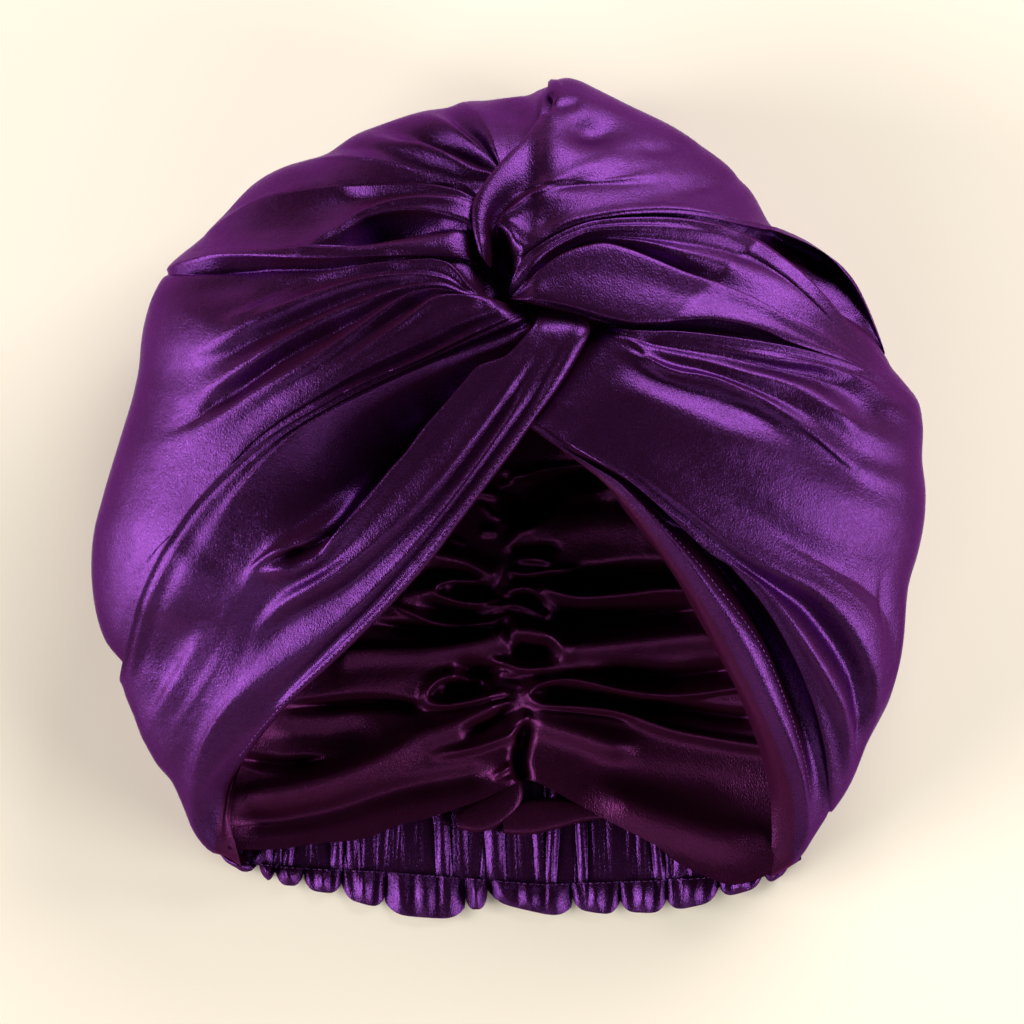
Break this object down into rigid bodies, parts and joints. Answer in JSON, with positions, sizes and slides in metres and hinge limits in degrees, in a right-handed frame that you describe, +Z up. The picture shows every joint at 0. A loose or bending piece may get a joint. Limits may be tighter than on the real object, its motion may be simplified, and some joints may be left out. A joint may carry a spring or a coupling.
{
  "type": "sleep bonnet",
  "caption": "Satin turban sleep bonnet with a twisted front knot, ruched lining and gathered elastic nape, lying on its back with the face opening up.",
  "frame": {"origin": "middle of the box's underside, on the surface that the bonnet lies on", "axes": "+Z up off the surface, the side of the face opening; +Y from the nape towards the crown; +X to the right of the picture"},
  "size_m": [0.2928, 0.2976, 0.1109],
  "materials": {
    "satin": "satin",
    "lining": "satin",
    "elastic": "satin"
  },
  "bodies": {
    "root": {"wrap_left": "satin", "wrap_right": "satin", "twist_core": "satin", "lining_left": "lining", "lining_right": "lining", "seam_tab": "lining", "nape_casing": "elastic", "nape_frill": "elastic"}
  },
  "joints": []
}
